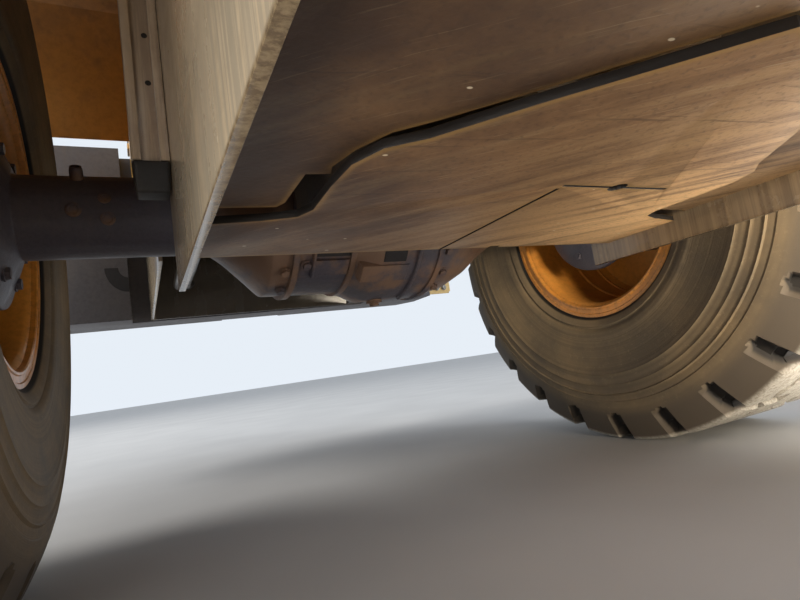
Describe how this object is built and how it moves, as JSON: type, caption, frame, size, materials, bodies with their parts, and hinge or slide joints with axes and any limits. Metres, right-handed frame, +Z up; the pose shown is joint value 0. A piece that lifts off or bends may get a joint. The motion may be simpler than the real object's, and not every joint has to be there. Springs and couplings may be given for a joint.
{
  "type": "wheel loader",
  "caption": "Articulated four-wheel loader with a front bucket on Z-bar lift arms, a cab over the hitch, a rear engine hood, and a belly guard between deep frame plates.",
  "frame": {"origin": "centre of the machine's bounding box, on the ground", "axes": "+Z up, -Y towards the bucket, +Y towards the counterweight, +X the machine's left side"},
  "size_m": [2.93, 7.81, 3.4003],
  "materials": {
    "yellow_paint": "gloss paint, dusty",
    "cream_paint": "gloss paint",
    "guard_plate": "worn, rust stained",
    "dark_casting": "dusty painted casting",
    "grey_paint": "satin",
    "black_paint": "satin",
    "rod_chrome": "polished",
    "pin_steel": "machined",
    "edge_steel": "worn",
    "tyre_rubber": "dusty",
    "stop_rubber": "matte",
    "window": "tinted",
    "seat_cover": "woven",
    "black_plastic": "textured",
    "lamp": "clear lens"
  },
  "bodies": {
    "chassis": {"rear_frame": "cream_paint", "hitch_pins": "pin_steel", "belly_guards": "guard_plate", "bump_stops": "stop_rubber", "power_unit": "dark_casting", "counterweight": "grey_paint", "hood": "yellow_paint", "intake_exhaust": "black_paint", "rear_fenders": "yellow_paint", "rear_axle": "dark_casting", "cab_shell": "yellow_paint", "cab_roof": "black_paint", "cab_glass": "window", "operator_seat": "seat_cover", "console": "black_plastic", "platform": "black_paint", "handrails": "black_paint"},
    "front_body": {"front_frame": "yellow_paint", "front_axle": "dark_casting", "front_fenders": "yellow_paint", "front_lamps": "lamp"},
    "door": {"cab_door": "black_paint", "door_glass": "window"},
    "grille": {"grille_door": "black_paint"},
    "arms": {"lift_arms": "yellow_paint"},
    "crank": {"bellcrank": "yellow_paint"},
    "link": {"bucket_link": "yellow_paint"},
    "bucket_body": {"bucket": "yellow_paint", "bucket_edge": "edge_steel"},
    "lift_barrel_pair": {"lift_barrels": "yellow_paint"},
    "lift_rod_pair": {"lift_rods": "rod_chrome"},
    "tilt_barrel_body": {"tilt_barrel": "yellow_paint"},
    "tilt_rod_body": {"tilt_rod": "rod_chrome"},
    "steer_barrel_body_left": {"steer_barrel_left": "yellow_paint"},
    "steer_rod_body_left": {"steer_rod_left": "rod_chrome"},
    "steer_barrel_body_right": {"steer_barrel_right": "yellow_paint"},
    "steer_rod_body_right": {"steer_rod_right": "rod_chrome"},
    "wheel_front_left": {"rim_front_left": "yellow_paint", "tyre_front_left": "tyre_rubber"},
    "wheel_front_right": {"rim_front_right": "yellow_paint", "tyre_front_right": "tyre_rubber"},
    "wheel_rear_left": {"rim_rear_left": "yellow_paint", "tyre_rear_left": "tyre_rubber"},
    "wheel_rear_right": {"rim_rear_right": "yellow_paint", "tyre_rear_right": "tyre_rubber"}
  },
  "joints": [
    {"name": "steering", "type": "hinge", "parent": "chassis", "child": "front_body", "pos_m": [0, 0.3, 0.9], "axis": [0, 0, 1], "range_deg": [-38, 38]},
    {"name": "lift", "type": "hinge", "parent": "front_body", "child": "arms", "pos_m": [0, -0.55, 1.95], "axis": [-1, 0, 0], "range_deg": [0, 80]},
    {"name": "bucket_tilt", "type": "hinge", "parent": "arms", "child": "bucket_body", "pos_m": [0, -2.455, 0.29], "axis": [1, 0, 0], "range_deg": [-40, 50]},
    {"name": "crank_turn", "type": "hinge", "parent": "arms", "child": "crank", "pos_m": [0, -1.68, 1.45], "axis": [1, 0, 0], "range_deg": [-15.35, 12.4]},
    {"name": "link_turn", "type": "hinge", "parent": "crank", "child": "link", "pos_m": [0, -1.976, 0.6], "axis": [1, 0, 0], "range_deg": [-26.04, 32.35]},
    {"name": "lift_barrel_swing", "type": "hinge", "parent": "front_body", "child": "lift_barrel_pair", "pos_m": [0, -0.6, 0.64], "axis": [-1, 0, 0], "range_deg": [0, 28.17]},
    {"name": "lift_rod_slide", "type": "slide", "parent": "lift_barrel_pair", "child": "lift_rod_pair", "axis": [0, -0.6562, 0.7546], "range_m": [0, 0.9162]},
    {"name": "tilt_barrel_swing", "type": "hinge", "parent": "front_body", "child": "tilt_barrel_body", "pos_m": [0, -0.55, 1.95], "axis": [-1, 0, 0], "range_deg": [0, 80]},
    {"name": "tilt_rod_slide", "type": "slide", "parent": "tilt_barrel_body", "child": "tilt_rod_body", "axis": [0, -0.9987, -0.051], "range_m": [-0.1116, 0.0895]},
    {"name": "cab_door_swing", "type": "hinge", "parent": "chassis", "child": "door", "pos_m": [0.734, 1.203, 2.3], "axis": [0, 0, 1], "range_deg": [0, 90]},
    {"name": "grille_swing", "type": "hinge", "parent": "chassis", "child": "grille", "pos_m": [-0.556, 3.5733, 1.9], "axis": [0, 0, 1], "range_deg": [0, 100]},
    {"name": "steer_barrel_swing_left", "type": "hinge", "parent": "chassis", "child": "steer_barrel_body_left", "pos_m": [0.42, 1, 0.9], "axis": [0, 0, 1], "range_deg": [-4.32, 4.32]},
    {"name": "steer_rod_slide_left", "type": "slide", "parent": "steer_barrel_body_left", "child": "steer_rod_body_left", "axis": [-0.1382, -0.9904, 0], "range_m": [-0.2022, 0.2022]},
    {"name": "steer_barrel_swing_right", "type": "hinge", "parent": "chassis", "child": "steer_barrel_body_right", "pos_m": [-0.42, 1, 0.9], "axis": [0, 0, 1], "range_deg": [-4.32, 4.32]},
    {"name": "steer_rod_slide_right", "type": "slide", "parent": "steer_barrel_body_right", "child": "steer_rod_body_right", "axis": [0.1382, -0.9904, 0], "range_m": [-0.2022, 0.2022]},
    {"name": "wheel_spin_front_left", "type": "hinge", "parent": "front_body", "child": "wheel_front_left", "pos_m": [1.07, -1.375, 0.775], "axis": [1, 0, 0], "continuous": true},
    {"name": "wheel_spin_front_right", "type": "hinge", "parent": "front_body", "child": "wheel_front_right", "pos_m": [-1.07, -1.375, 0.775], "axis": [1, 0, 0], "continuous": true},
    {"name": "wheel_spin_rear_left", "type": "hinge", "parent": "chassis", "child": "wheel_rear_left", "pos_m": [1.07, 1.975, 0.775], "axis": [1, 0, 0], "continuous": true},
    {"name": "wheel_spin_rear_right", "type": "hinge", "parent": "chassis", "child": "wheel_rear_right", "pos_m": [-1.07, 1.975, 0.775], "axis": [1, 0, 0], "continuous": true}
  ],
  "couplings": [
    {"joint": "crank_turn", "follows": "bucket_tilt", "ratio": -0.295},
    {"joint": "link_turn", "follows": "bucket_tilt", "ratio": 0.631},
    {"joint": "lift_barrel_swing", "follows": "lift", "ratio": 0.34958},
    {"joint": "lift_rod_slide", "follows": "lift", "m_per_rad": 0.6555},
    {"joint": "tilt_barrel_swing", "follows": "lift", "ratio": 1},
    {"joint": "tilt_rod_slide", "follows": "bucket_tilt", "m_per_rad": -0.12677},
    {"joint": "steer_barrel_swing_left", "follows": "steering", "ratio": 0.10575},
    {"joint": "steer_rod_slide_left", "follows": "steering", "m_per_rad": -0.30337},
    {"joint": "steer_barrel_swing_right", "follows": "steering", "ratio": 0.10575},
    {"joint": "steer_rod_slide_right", "follows": "steering", "m_per_rad": 0.30337}
  ]
}
